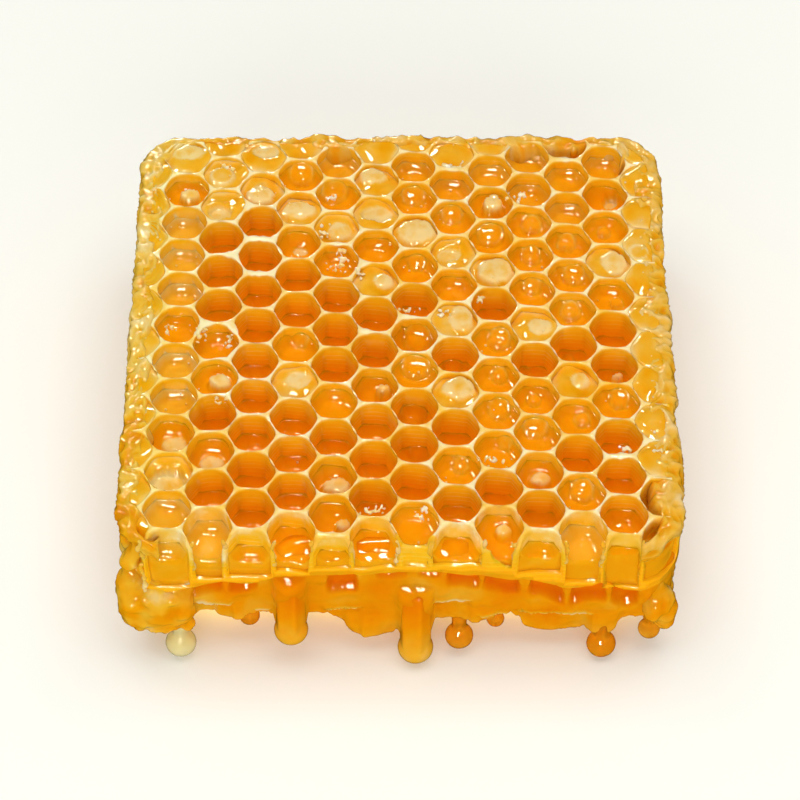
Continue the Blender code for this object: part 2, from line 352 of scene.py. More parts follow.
def sink(bm, faces, rim, floor, profile, upper):
    """Draws each face down into a cell: walls from the rim to the floor, after the profile."""
    outline, middle = remember(bm)
    tones = bm.verts.layers.float.new("tone")
    corner = bm.verts.layers.float["corner"]
    faces = list(faces)
    for face in faces:
        for vert in face.verts:
            vert[tones] = WALL_TONE[0][1] if upper else 0.0
    for number, (share, down, inset, rounding) in enumerate(profile):
        middles = [face.calc_center_median() for face in faces] if number == 0 else None
        faces = bmesh.ops.extrude_discrete_faces(bm, faces=faces)["faces"]
        for order, face in enumerate(faces):
            if number == 0:
                for vert in face.verts:
                    vert[outline] = vert.co
                    vert[middle] = middles[order]
            for vert in face.verts:
                out, mid = vert[outline], vert[middle]
                wider = crust(out[0], out[1]) * max(0.0, 1 - down / 1.5) if upper and share == 0 else 0.0
                ragged = 0.07 * ripple(out[0] * 800, out[1] * 800, down)
                drawn_in = (inset + wider + ragged * (down < 1)) * MM
                flat = ring_point(Vector(out[:2]), Vector(mid[:2]), drawn_in, rounding)
                low, high = floor(mid[0], mid[1]), rim(out[0], out[1])
                way = 1 if high > low else -1
                vert.co = (*flat, high - way * down * MM - share * (high - way * down * MM - low))
                if upper:
                    depth = (high - vert.co.z) / MM
                    at_corner = vert[corner] * ease((depth - 0.7) / 1.2)
                    vert[tones] = follow(WALL_TONE, depth) + CORNER_TONE * at_corner
    return faces


def wax_layer(middles, rim, floor, back, profile, upper=True):
    """A closed layer of comb: open cells on one face and a flat midrib on the other."""
    bm = draw_cells(middles, True, SIDE_STEPS if upper else 3)
    under = bmesh.ops.duplicate(bm, geom=bm.verts[:] + bm.edges[:] + bm.faces[:])
    top_faces = [face for face in bm.faces if face not in set(under["geom"])]
    under_faces = [part for part in under["geom"] if isinstance(part, bmesh.types.BMFace)]
    for vert in bm.verts:
        vert.co.z = rim(vert.co.x, vert.co.y)
    for vert in verts_of(under):
        vert.co.z = back(vert.co.x, vert.co.y)
    for face in under_faces:
        face.normal_flip()
    loose = [edge for edge in bm.edges if edge.is_boundary]
    bmesh.ops.bridge_loops(bm, edges=loose)
    sink(bm, top_faces, rim, floor, profile, upper)
    if rim(0, 0) < back(0, 0):
        bmesh.ops.reverse_faces(bm, faces=bm.faces)
    return bm


# ---------------------------------------------------------------- the block that the comb was cut to

def plan(front, others, points_a_side=64, points_a_corner=6):
    """Points and outward directions round a rectangle with round corners, set in by front and others."""
    half_x = WIDTH / 2 - others
    back = MIDDLE_Y + DEPTH / 2 - others
    near = MIDDLE_Y - DEPTH / 2 + front
    corners = (
        (Vector((half_x - CORNER, near + CORNER)), -90),
        (Vector((half_x - CORNER, back - CORNER)), 0),
        (Vector((-half_x + CORNER, back - CORNER)), 90),
        (Vector((-half_x + CORNER, near + CORNER)), 180),
    )
    points = []
    for number, (centre, start) in enumerate(corners):
        for step in range(points_a_corner + 1):
            angle = math.radians(start + 90 * step / points_a_corner)
            away = Vector((math.cos(angle), math.sin(angle)))
            points.append((centre + away * CORNER, away))
        onward, turn = corners[(number + 1) % 4]
        angle = math.radians(turn)
        away = Vector((math.cos(angle), math.sin(angle)))
        first, last = points[-1][0], onward + away * CORNER
        for step in range(1, points_a_side):
            points.append((first.lerp(last, step / points_a_side), away))
    return points


def trimming_block(levels, seed, rough):
    """A block with uneven sides, to cut a layer to: height, front inset, inset of the other sides."""
    bm = bmesh.new()
    rings = []
    for height, front, others in levels:
        ring = []
        for point, away in plan(front, others):
            wave = ripple(point.x * 420, point.y * 420, height * 160 + seed)
            broad = ripple(point.x * 110, point.y * 110, height * 60 + seed)
            ring.append(Vector((*(point + away * (wave * rough + broad * rough)), height)))
        rings.append(ring)
    bmesh.ops.create_circle(bm, cap_ends=True, segments=len(rings[0]), radius=WIDTH / 2)
    turn = bm.verts.layers.int.new("place in the ring")
    bm.faces.ensure_lookup_table()
    cap = bm.faces[0]
    for number, vert in enumerate(cap.verts):
        vert[turn] = number
        vert.co = rings[0][number]
    for ring in rings[1:]:
        grown = bmesh.ops.extrude_face_region(bm, geom=[cap])
        if ring is not rings[1]:
            bmesh.ops.delete(bm, geom=[cap], context="FACES_ONLY")
        cap = next(part for part in grown["geom"] if isinstance(part, bmesh.types.BMFace))
        for vert in cap.verts:
            vert.co = ring[vert[turn]]
    bmesh.ops.recalc_face_normals(bm, faces=bm.faces)
    return bm


def added(name, data):
    thing = bpy.data.objects.new(name, data)
    bpy.context.scene.collection.objects.link(thing)
    return thing


def mesh_of(bm, name):
    mesh = bpy.data.meshes.new(name)
    bm.to_mesh(mesh)
    bm.free()
    return mesh


def loose_object(bm, name):
    return added(name, mesh_of(bm, name))


def aimed(thing, place, target):
    thing.location = place
    thing.rotation_euler = (Vector(target) - Vector(place)).to_track_quat("-Z", "Y").to_euler()


def baked(thing):
    """The mesh of an object with its modifiers applied, as a bmesh; the object is removed."""
    graph = bpy.context.evaluated_depsgraph_get()
    mesh = bpy.data.meshes.new_from_object(thing.evaluated_get(graph))
    bm = bmesh.new()
    bm.from_mesh(mesh)
    bpy.data.meshes.remove(mesh)
    bpy.data.objects.remove(thing)
    return bm


def cut_to(bm, block):
    """What of a shape lies inside a block."""
    thing = loose_object(bm, "whole")
    knife = loose_object(block, "block")
    modifier = thing.modifiers.new("cut", "BOOLEAN")
    modifier.operation = "INTERSECT"
    modifier.solver = "MANIFOLD"
    modifier.object = knife
    cut = baked(thing)
    bpy.data.objects.remove(knife)
    return cut


# ---------------------------------------------------------------- materials

class Finish:
    """A Principled material with a few short ways to add nodes."""

    def __init__(self, name):
        self.material = bpy.data.materials.new(name)
        self.material.use_nodes = True
        self.tree = self.material.node_tree
        self.shader = self.tree.nodes["Principled BSDF"]
        self.place = self.tree.nodes.new("ShaderNodeTexCoord").outputs["Object"]

    def set(self, **values):
        for name, value in values.items():
            self.shader.inputs[name.replace("_", " ")].default_value = value

    def node(self, kind, **settings):
        made = self.tree.nodes.new(kind)
        for name, value in settings.items():
            setattr(made, name, value)
        return made

    def link(self, start, end):
        self.tree.links.new(start, end)

    def noise(self, scale, detail=3.0, rough=0.55):
        made = self.node("ShaderNodeTexNoise")
        made.inputs["Scale"].default_value = scale
        made.inputs["Detail"].default_value = detail
        made.inputs["Roughness"].default_value = rough
        self.link(self.place, made.inputs["Vector"])
        return made.outputs["Fac"]

    def growth_lines(self):
        """Level lines up the walls, a bit more than half a millimetre apart and broken up."""
        made = self.node("ShaderNodeTexWave", bands_direction="Z")
        made.inputs["Scale"].default_value = 460
        made.inputs["Distortion"].default_value = 2.2
        made.inputs["Detail Scale"].default_value = 0.5
        self.link(self.place, made.inputs["Vector"])
        return made.outputs["Fac"]

    def ramp(self, value, stops):
        made = self.node("ShaderNodeValToRGB")
        self.link(value, made.inputs["Fac"])
        elements = made.color_ramp.elements
        while len(elements) < len(stops):
            elements.new(0.5)
        for element, (place, colour) in zip(elements, stops):
            element.position = place
            element.color = (*colour, 1.0)
        return made.outputs["Color"]

    def math(self, operation, first, second=0.0):
        made = self.node("ShaderNodeMath", operation=operation)
        for socket, value in zip(made.inputs, (first, second)):
            if isinstance(value, (int, float)):
                socket.default_value = value
            else:
                self.link(value, socket)
        return made.outputs["Value"]

    def spread(self, value, low, high, to_low=0.0, to_high=1.0):
        made = self.node("ShaderNodeMapRange")
        self.link(value, made.inputs["Value"])
        for name, number in (("From Min", low), ("From Max", high), ("To Min", to_low), ("To Max", to_high)):
            made.inputs[name].default_value = number
        return made.outputs["Result"]

    def bump(self, height, strength, distance):
        made = self.node("ShaderNodeBump")
        made.inputs["Strength"].default_value = strength
        made.inputs["Distance"].default_value = distance
        self.link(height, made.inputs["Height"])
        self.link(made.outputs["Normal"], self.shader.inputs["Normal"])

    def axis(self, letter):
        made = self.node("ShaderNodeSeparateXYZ")
        self.link(self.place, made.inputs["Vector"])
        return made.outputs[letter]


def comb_finish(
    name, stops, rough, scatter, clear=0.0, mottles=0.12, relief=(900, 0.35, 0.12), glow=0.0, growth=0.0,
):
    """Wax or honey: its colour goes by each point's tone, and light scatters inside it, so many mm far.

    Relief is the scale, strength and height in mm of the bumps; growth is how much the level lines show; glow
    is how strong a painted glow is, an orange emission in the deep tones that stands in for light passing
    through.
    """
    comb = Finish(name)
    comb.set(Roughness=rough, IOR=1.46, Transmission_Weight=clear, Specular_IOR_Level=0.2)
    comb.set(Subsurface_Weight=0.6, Subsurface_Scale=scatter * MM)
    comb.shader.inputs["Subsurface Radius"].default_value = (1.0, 0.9, 0.8)
    comb.set(Coat_Weight=0.6, Coat_Roughness=0.04, Coat_IOR=1.49)
    tone = comb.spread(comb.node("ShaderNodeAttribute", attribute_name="tone").outputs["Fac"], -1, 1)
    small = comb.spread(comb.noise(520, 4), 0.3, 0.7, -mottles, mottles)
    broad = comb.spread(comb.noise(110, 2), 0.3, 0.7, -mottles * 0.7, mottles * 0.7)
    mixed = comb.math("ADD", comb.math("ADD", tone, small), broad)
    if growth:
        lines = comb.spread(comb.growth_lines(), 0.72, 0.95, 0.0, growth)
        mixed = comb.math("ADD", mixed, comb.math("MULTIPLY", lines, comb.spread(tone, 0.55, 0.40)))
    colour = comb.ramp(mixed, stops)
    # The left side is a little yellower.
    sunny = comb.node("ShaderNodeMix", data_type="RGBA", blend_type="MULTIPLY")
    comb.link(comb.spread(comb.axis("X"), -0.019, -0.031), sunny.inputs["Factor"])
    comb.link(colour, sunny.inputs["A"])
    sunny.inputs["B"].default_value = (1.0, 1.09, 1.0, 1.0)
    comb.link(sunny.outputs["Result"], comb.shader.inputs["Base Color"])
    # Painted glow: an orange emission, strongest in the deepest tones, stands in for light passing through
    # the wax and the honey.
    if glow:
        comb.shader.inputs["Emission Color"].default_value = (1.0, 0.38, 0.003, 1.0)
        comb.link(comb.spread(tone, 0.45, 0.0, 0.0, glow), comb.shader.inputs["Emission Strength"])
    fine, strength, distance = relief
    comb.bump(comb.noise(fine, 4, 0.6), strength, distance * MM)
    return comb.material


WAX_STOPS = (
    (0.0, (0.95, 0.4, 0.003)), (0.3, (0.95, 0.46, 0.004)), (0.55, (0.96, 0.52, 0.012)),
    (0.78, (0.96, 0.57, 0.08)), (0.9, (0.97, 0.68, 0.24)), (1.0, (0.97, 0.8, 0.46)),
)
POOL_STOPS = (
    (0.0, (0.95, 0.32, 0.001)), (0.3, (0.96, 0.36, 0.002)), (0.5, (0.96, 0.41, 0.005)),
    (0.7, (0.96, 0.48, 0.03)), (0.86, (0.96, 0.58, 0.14)), (1.0, (0.96, 0.68, 0.28)),
)
EDGE_STOPS = (
    (0.0, (0.95, 0.32, 0.002)), (0.35, (0.95, 0.42, 0.008)), (0.55, (0.95, 0.52, 0.05)),
    (0.75, (0.96, 0.57, 0.12)), (1.0, (0.97, 0.69, 0.32)),
)
CURTAIN_STOPS = (
    (0.0, (0.92, 0.2, 0.001)), (0.3, (0.95, 0.29, 0.001)), (0.5, (0.96, 0.37, 0.003)),
    (0.75, (0.96, 0.49, 0.03)), (1.0, (0.95, 0.68, 0.32)),
)
PALE_STOPS = ((0.0, (0.98, 0.58, 0.08)), (0.5, (1.0, 0.78, 0.36)), (1.0, (1.0, 0.92, 0.68)))
TORN_STOPS = ((0.0, (0.95, 0.54, 0.08)), (0.5, (0.95, 0.68, 0.28)), (1.0, (0.95, 0.84, 0.64)))


# ---------------------------------------------------------------- pieces

def toned(bm, tone):
    """Adds to each point's tone, which runs from -1, deep and dark, to 1, thin and pale."""
    layer = bm.verts.layers.float.get("tone") or bm.verts.layers.float.new("tone")
    for vert in bm.verts:
        vert[layer] = clamp(vert[layer] + tone(vert.co))


def channel_of(x):
    """Which of the cells that the front cut opened lies at this X."""
    return min(len(CHANNELS) - 1, max(0, round((x - FIRST_CELL.x) / COLUMN)))


def channel_backs():
    """Where the back wall of each cell lies that the front cut opened."""
    backs = {}
    for column, _, middle, _ in upper_places():
        if abs(middle.y - CUT) <= ROW / 2:
            backs[column] = uneven(Vector((middle.x, middle.y + ROW / 2, 0))).y
    return backs


CHANNEL_BACKS = channel_backs()


def wax_tone(point, tone):
    """The wall's tone, paler where the rim has a crust, at the left side and in the cut front cells."""
    down = (TOP - point.z) / MM
    if down < 1.5:
        tone += 0.7 * crust(point.x, point.y) * (1 - down / 1.5)
    tone += 0.55 * ease((-0.0215 - point.x) / 0.004) * ease((down - 0.8) / 0.6)
    channel = channel_of(point.x)
    if point.y < CHANNEL_BACKS[channel] + 0.0003:
        pale = 1 - ease((down - CHANNELS[channel][0]) / 0.7)
        tone += (0.72 + 0.4 * noise.noise(point * 600) - tone) * 0.8 * pale
    return min(follow(DEEP_TONE, down), max(-1.0, tone))


def add_piece(bm, name, finish, replaces=()):
    for face in bm.faces:
        face.smooth = True
    piece = loose_object(bm, name)
    piece.data.materials.append(finish)
    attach(piece, "root")
    if replaces:
        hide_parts(*replaces)
    return piece


# What the two layers are cut to: height, inset of the front, inset of the other sides.
UPPER_LEVELS = (
    (0.0090, 0.0, 0.0), (0.0125, 0.0, 0.0), (0.0150, 0.0, 0.0), (0.0175, 0.0, 0.0), (0.0192, 0.0001, 0.0),
    (0.0208, 0.0003, 0.0003), (0.0220, 0.0009, 0.0009), (0.0240, 0.0016, 0.0016),
)
LOWER_LEVELS = (
    (-0.0010, 0.0096, 0.0034), (0.0018, 0.0070, 0.0016), (0.0045, 0.0040, 0.0010),
    (0.0090, 0.0036, 0.0009), (0.0130, 0.0034, 0.0009), (0.0180, 0.0034, 0.0009),
)
LOWER_HONEY_LEVELS = (
    (-0.0010, 0.0100, 0.0040), (0.0018, 0.0074, 0.0022), (0.0045, 0.0044, 0.0014),
    (0.0090, 0.0040, 0.0013), (0.0130, 0.0038, 0.0013), (0.0180, 0.0038, 0.0013),
)


def upper_block(set_in=0.0):
    levels = [(height, front + set_in, others + set_in) for height, front, others in UPPER_LEVELS]
    return trimming_block(levels, 1.0, 0.0003)


def make_upper_wax(finish):
    middles = [middle for _, _, middle, _ in upper_places()]
    bm = wax_layer(
        middles, rim_height, lambda x, y: midrib(x, y) + FLOOR_UP, lambda x, y: midrib(x, y) - 0.0004,
        WALL_PROFILE,
    )
    bm = cut_to(bm, upper_block())
    layer = bm.verts.layers.float["tone"]
    for vert in bm.verts:
        vert[layer] = wax_tone(vert.co, vert[layer])
    return add_piece(bm, "upper_wax", finish, ("comb",))


def make_lower_wax(finish):
    bm = wax_layer(
        lower_middles(), lower_rim, lambda x, y: midrib(x, y) - 0.0010, lambda x, y: midrib(x, y) - 0.0002,
        WALL_PROFILE, upper=False,
    )
    bm = cut_to(bm, trimming_block(LOWER_LEVELS, 7.0, 0.0003))
    toned(bm, lambda point: 0.2 - 0.9 * ease((point.z - 0.003) / 0.009))
    return add_piece(bm, "lower_wax", finish, ("comb",))


def in_cell(table):
    """A table's rows by the cell that they lie in."""
    cells = {}
    for column, step, *rest in table:
        cells.setdefault((column, step), []).append(rest)
    return cells


PAINTED_REFLECTIONS_IN = in_cell(PAINTED_REFLECTIONS)
BUBBLES_IN = in_cell(BUBBLES)


def pool_surface(cell, letter, level, x, y, share, seed):
    """How far down a cell's honey lies and its tone, at a place in millimetres off the cell's middle."""
    climb = (max(0.0, share - 0.55) / 0.45) ** 2.2
    down, tone = level, POOL_TONE[letter] + (0.3 if letter == "m" and cell[0] < 1 else 0.0)
    if letter in "fb":
        down -= 0.3 * (1 - share * share) + 0.9 * ripple(x * 0.32, y * 0.32, seed)
        tone += 0.5 * ripple(x * 0.5, y * 0.5, seed + 4)
    elif letter in "no":
        down -= 1.2 * climb + (0.35 if letter == "n" else 0.10) * y
        if letter == "o":
            tone = CHANNELS[min(len(CHANNELS) - 1, max(0, cell[0]))][1] - 0.35 * share
    else:
        down -= {"d": 1.4, "r": 1.2, "m": 1.0}[letter] * climb
    tone += 0.5 * climb
    ragged = 0.20 * ripple(x * 0.9, y * 0.9, seed)
    ragged += 0.08 * ripple(x * 2.6, y * 2.6, seed)
    down -= 0.10 * ripple(x * 1.2, y * 1.2, seed + 2)
    # Each flat spot sets the honey level to its depth and gets a painted reflection: a pale tone where a
    # bright light would mirror in the flat honey.
    for right, back, half_wide, half_deep, depth in PAINTED_REFLECTIONS_IN.get(cell, ()):
        off = math.hypot((x - right) / half_wide, (y - back - SEEN_SHIFT * depth) / half_deep) + ragged
        film = 1 - ease((off - 0.82) / 0.24)
        if film > 0:
            down += (depth - 0.25 * (1 - min(1.0, off) ** 2) - down) * film
            tone += (0.75 + 1.8 * ragged + 0.3 * off - tone) * film
    for right, back, radius in BUBBLES_IN.get(cell, ()):
        off = math.hypot(x - right, y - back - SEEN_SHIFT * min(level, 3.0)) / radius
        if off < 1.6:
            dome = 0.50 * radius * math.sqrt(max(0.0, 1 - off * off))
            down -= dome - 0.22 * bell(off - 1.12, 0.14)
            # A painted highlight: a pale ring round the edge of each bubble; the tone also rises towards its
            # middle.
            tone += 0.75 * bell(off - 0.92, 0.16) + 0.35 * max(0.0, 1 - off)
    return down, tone


def raised(bm, faces):
    """Faces drawn up into closed blocks: the new faces are the tops, and the open bottoms are closed."""
    tops = bmesh.ops.extrude_discrete_faces(bm, faces=faces)["faces"]
    bmesh.ops.holes_fill(bm, edges=[edge for edge in bm.edges if edge.is_boundary], sides=0)
    return tops


def edges_down(face):
    """Each corner of a block's top, with the corner below it."""
    ring = list(face.verts)
    for vert in ring:
        yield vert, next(
            edge.other_vert(vert) for edge in vert.link_edges if edge.other_vert(vert) not in ring
        )


def make_cell_honey(finish):
    chance = random.Random(4)
    places = list(upper_places())
    bm = draw_cells([middle for _, _, middle, _ in places], False, SIDE_STEPS)
    faces = sorted(bm.faces, key=lambda face: face.index)
    outline, middle_layer = remember(bm)
    tones = bm.verts.layers.float.new("tone")
    cells = []
    for column, step, _, letter in places:
        level = HONEY_DOWN[letter] * chance.uniform(0.92, 1.08)
        cells.append(((column, step), letter, level, chance.random() * 9))

    def settle(vert, number, flat, middle, share):
        cell, letter, level, seed = cells[number]
        off = (flat - middle) / MM
        down, tone = pool_surface(cell, letter, level, off.x, off.y, share, seed)
        down = max(0.12, down - 0.06 * ripple(flat.x * 900, flat.y * 900, seed))
        vert.co = (*flat, max(midrib(*middle) + FLOOR_UP, TOP - down * MM))
        vert[tones] = clamp(tone)

    faces = raised(bm, faces)
    for number, face in enumerate(faces):
        middle = Vector(face.calc_center_median()[:2])
        for vert, below in edges_down(face):
            flat = ring_point(Vector(vert.co[:2]), middle, HONEY_INSET, HONEY_ROUNDING)
            vert[outline] = (*flat, 0)
            vert[middle_layer] = (*middle, 0)
            below.co = (*flat, midrib(*middle) + 0.0002)
            below[tones] = -0.6
            settle(vert, number, flat, middle, 1.0)
    for share in (0.95, 0.88, 0.80, 0.71, 0.62, 0.52, 0.42, 0.31, 0.20, 0.09):
        faces = bmesh.ops.extrude_discrete_faces(bm, faces=faces)["faces"]
        for number, face in enumerate(faces):
            for vert in face.verts:
                middle = Vector(vert[middle_layer][:2])
                settle(vert, number, middle + (Vector(vert[outline][:2]) - middle) * share, middle, share)
    bmesh.ops.poke(bm, faces=faces)
    bmesh.ops.recalc_face_normals(bm, faces=bm.faces)
    return add_piece(cut_to(bm, upper_block(0.0004)), "cell_honey", finish, ("comb",))


def make_lower_honey(finish):
    chance = random.Random(6)
    bm = draw_cells(lower_middles(), False, 3)
    for face in raised(bm, list(bm.faces)):
        middle = Vector(face.calc_center_median()[:2])
        down = chance.uniform(0.0003, 0.0020)
        for vert, below in edges_down(face):
            flat = ring_point(Vector(vert.co[:2]), middle, HONEY_INSET, HONEY_ROUNDING)
            below.co = (*flat, lower_rim(*flat) + down)
            vert.co = (*flat, midrib(*middle) - 0.0008)
    bmesh.ops.recalc_face_normals(bm, faces=bm.faces)
    bm = cut_to(bm, trimming_block(LOWER_HONEY_LEVELS, 7.0, 0.0002))
    toned(bm, lambda point: -0.3)
    return add_piece(bm, "lower_honey", finish, ("comb",))


# ---------------------------------------------------------------- what has run and set outside the cells

def ball_mesh(detail):
    bm = bmesh.new()
    bmesh.ops.create_icosphere(bm, subdivisions=detail, radius=MM)
    return mesh_of(bm, "ball")


BALLS = {detail: ball_mesh(detail) for detail in (1, 2, 3)}


def blob(bm, place, radii, turn=(0, 0, 0), detail=2):
    """A ball drawn out to three radii, in millimetres, turned and put in its place in metres."""
    about_x, about_y, about_z = (Matrix.Rotation(angle, 4, axis) for angle, axis in zip(turn, "XYZ"))
    turned = about_z @ about_y @ about_x
    ball = BALLS[detail].copy()
    ball.transform(Matrix.Translation(place) @ turned @ Matrix.Diagonal((*radii, 1.0)))
    bm.from_mesh(ball)
    bpy.data.meshes.remove(ball)


def strand(bm, start, end, thick_start, thick_end, beads):
    """A row of balls from one place to another, which melt into a strand."""
    start, end = Vector(start), Vector(end)
    for number in range(beads):
        share = number / (beads - 1)
        thick = thick_start + (thick_end - thick_start) * share
        blob(bm, start.lerp(end, share), (thick, thick, thick), detail=1)


def melted(bm, name, voxel, smoothing, rough=0.0, seed=0.0):
    """Balls run together into one skin, remeshed at voxel and roughened by rough, both in millimetres."""
    thing = loose_object(bm, name)
    remesh = thing.modifiers.new("melt", "REMESH")
    remesh.mode = "VOXEL"
    remesh.voxel_size = voxel * MM
    smooth = thing.modifiers.new("smooth", "SMOOTH")
    smooth.factor = 0.5
    smooth.iterations = smoothing
    skin = baked(thing)
    if rough:
        skin.normal_update()
        for vert in skin.verts:
            wave = noise.noise(vert.co * 420 + Vector((seed, 0, 0))) + 0.5 * noise.noise(vert.co * 1300)
            vert.co += vert.normal * (wave * rough * MM)
    return skin


def rough_tone(middle, spread, scale, low=0.0):
    """A tone that changes from place to place, for honey that has set in lumps and strings."""
    return lambda point: middle + low * ease((0.014 - point.z) / 0.008) + spread * noise.noise(point * scale)


# Thick honey at the front corners: X, height of the lowest point, half width, half height, how far out.
LIP_LUMPS = (
    (-30.4, 5.4, 2.2, 3.5, 0.8), (-27.8, 5.7, 2.5, 3.5, 1.1), (-25.3, 6.2, 1.9, 3.0, 0.8),
    (29.4, 5.8, 1.5, 2.6, 0.2),
)
# The lumps along the other sides: how many, their lowest reach and usual half height.
LUMPS_A_SIDE = 24
LUMP_LOW = 4.0
LUMP_HALF = 3.4


def make_lip_honey(finish):
    chance = random.Random(12)
    bm = bmesh.new()
    for x, low, half_wide, half_high, out in LIP_LUMPS:
        y = FRONT + (1.9 - out) * MM
        blob(bm, (x * MM, y, (low + half_high) * MM), (half_wide, 1.9, half_high))
        blob(bm, (x * MM, y + 1.4 * MM, (low + half_high * 1.5) * MM), (half_wide, 2.4, half_high * 1.2))
    # A thick fold that closes the left corner below the skin on the top.
    low_end = Vector((-30.5 * MM, FRONT + 1.5 * MM, TOP - 5.4 * MM))
    high_end = Vector((-28.9 * MM, FRONT + 2.2 * MM, TOP - 2.1 * MM))
    strand(bm, low_end, high_end, 1.3, 0.9, 7)
    # Bubbles and crumbs in the thick honey at the left corner.
    for _ in range(90):
        size = chance.uniform(0.35, 0.80)
        x, z = chance.uniform(-30.8, -24.0), chance.uniform(6.0, 12.0)
        y = FRONT + (0.06 * (x + 27.8) ** 2 - 0.15) * MM
        blob(bm, (x * MM, y, z * MM), (size, size, size * chance.uniform(0.6, 1.2)))
    # A row of lumps below the midrib along each side, and one along the back.
    for side in (-1, 1):
        for step in range(LUMPS_A_SIDE):
            y = FRONT + (1.5 + step * 2.55 + chance.uniform(-0.6, 0.6)) * MM
            z = (LUMP_LOW + chance.uniform(0, 1.8) + LUMP_HALF) * MM
            x = side * (30.3 + chance.uniform(-0.5, 0.4)) * MM
            blob(bm, (x, y, z), (1.5, chance.uniform(1.5, 2.3), chance.uniform(2.8, 4.2)))
    for step in range(LUMPS_A_SIDE):
        x = (-30 + step * 2.61 + chance.uniform(-0.6, 0.6)) * MM
        z = (LUMP_LOW + chance.uniform(0, 1.8) + LUMP_HALF) * MM
        radii = (chance.uniform(1.5, 2.3), 1.5, chance.uniform(2.8, 4.2))
        blob(bm, (x, MIDDLE_Y + DEPTH / 2 - 1.7 * MM, z), radii)
    skin = melted(bm, "lip_honey", 0.28, 1, 0.34, 3.0)
    toned(skin, rough_tone(0.15, 0.7, 520))
    return add_piece(skin, "lip_honey", finish, ("comb",))


def outward(chance, near, side):
    """A place along the left, the right or the back side, set in by near, and which way is out."""
    if side == "back":
        x = chance.uniform(-WIDTH / 2 + CORNER * 0.6, WIDTH / 2 - CORNER * 0.6)
        away = Vector((0, 1, 0))
        place = Vector((x, MIDDLE_Y + DEPTH / 2 - near, 0))
    else:
        away = Vector((-1 if side == "left" else 1, 0, 0))
        y = chance.uniform(FRONT + 0.002, MIDDLE_Y + DEPTH / 2 - CORNER * 0.6)
        place = Vector((away.x * (WIDTH / 2 - near), y, 0))
    return place, away


def make_side_honey(finish):
    """Cells that the knife opened along the sides and the back: honey run into glassy lumps."""
    chance = random.Random(21)
    sides = ("left", "right", "back")
    bm = bmesh.new()
    for number in range(260):
        place, away = outward(chance, 0.0013, sides[number % 3])
        place.z = chance.uniform(0.0130, 0.0205)
        wide, tall = chance.uniform(0.6, 1.5), chance.uniform(0.8, 1.8)
        radii = (1.0, wide, tall) if away.x else (wide, 1.0, tall)
        turn = (chance.uniform(-0.4, 0.4), chance.uniform(-0.4, 0.4), 0)
        blob(bm, place + away * chance.uniform(-0.4, 0.3) * MM, radii, turn)
    for number in range(70):
        place, away = outward(chance, 0.0004, sides[number % 3])
        place.z = chance.uniform(0.0150, 0.0215)
        size = chance.uniform(0.35, 0.75)
        blob(bm, place, (size, size, size * chance.uniform(1.0, 1.6)))
    skin = melted(bm, "side_honey", 0.26, 3, 0.10, 9.0)
    toned(skin, rough_tone(0.0, 1.3, 330, -0.35))
    return add_piece(skin, "side_honey", finish, ("comb",))


def fold(point, scale):
    """Sharp crests with hollows between them, from -1 to 1."""
    return 1 - 3.2 * abs(noise.noise(point * scale))


# The skin along the borders, in millimetres: how wide it is on top, how thick, and how far down it lies.
SKIN_BANDS = {"left": 3.1, "right": 3.5, "back": 2.2}
SKIN_THICK = 0.7
SKIN_DOWN = 0.38


def make_border_honey(finish):
    """A crumpled skin of honey and wax over the rims along the left, the back and the right."""
    a_side, a_corner = 230, 20
    path = plan(0.0, 0.0, a_side, a_corner)[: 4 * (a_corner + 1) + 3 * (a_side - 1)]
    bm = bmesh.new()
    bmesh.ops.create_grid(bm, x_segments=len(path) - 1, y_segments=44, size=1.0)
    layer = bm.verts.layers.float.new("tone")
    inward_layer = bm.verts.layers.float_vector.new("inward")
    for vert in bm.verts:
        spot = (vert.co.x + 1) / 2 * (len(path) - 1)
        first = min(len(path) - 2, int(spot))
        place = path[first][0].lerp(path[first + 1][0], spot - first).to_3d()
        away = path[first][1].lerp(path[first + 1][1], spot - first).normalized().to_3d()
        band = SKIN_BANDS["right"] * max(0.0, away.x) + SKIN_BANDS["left"] * max(0.0, -away.x)
        band += SKIN_BANDS["back"] * max(0.0, away.y)
        band += 0.9 * noise.noise(place * 190) + 0.5 * noise.noise(place * 520)
        hang = 3.2 + 2.4 * noise.noise(place * 140 + Vector((0, 0, 3))) + 1.2 * noise.noise(place * 420)
        along = (vert.co.y + 1) / 2 * (band + hang) - band
        inward = (math.hypot(along, 0.7) - along) / 2
        drop = (math.hypot(along, 0.7) + along) / 2
        turned = ease((along + 0.9) / 1.8)
        normal = (away * turned + Vector((0, 0, 1 - turned))).normalized()
        flat = place + away * -inward * MM + Vector((0, 0, -drop * MM))
        crest = 0.6 * fold(flat, 430) + 0.4 * fold(flat + Vector((0.1, 0, 0)), 950)
        out = 0.42 * crest + 0.35 * noise.noise(flat * 170)
        out += 0.7 * max(0.0, away.y) * turned * max(0.0, 0.15 + noise.noise(place * 230 + Vector((0, 0, 7))))
        out -= 2.4 * max(0.0, 1 - (along + band) / 0.9) ** 2 + 0.8 * max(0.0, 1 - (hang - along) / 0.8) ** 2
        vert.co = flat + normal * out * MM + Vector((0, 0, TOP - SKIN_DOWN * MM))
        vert[inward_layer] = normal * -SKIN_THICK * MM
        near_front = ease((-0.016 - place.y) / 0.006)
        patches = noise.noise(flat * 210 + Vector((5, 0, 0)))
        vert[layer] = clamp(-0.12 - 0.25 * near_front + 0.7 * crest + 0.8 * patches)
    grown = bmesh.ops.extrude_face_region(bm, geom=bm.faces[:])
    for vert in verts_of(grown):
        vert.co += Vector(vert[inward_layer])
    bmesh.ops.recalc_face_normals(bm, faces=bm.faces)
    return add_piece(bm, "border_honey", finish, ("comb",))


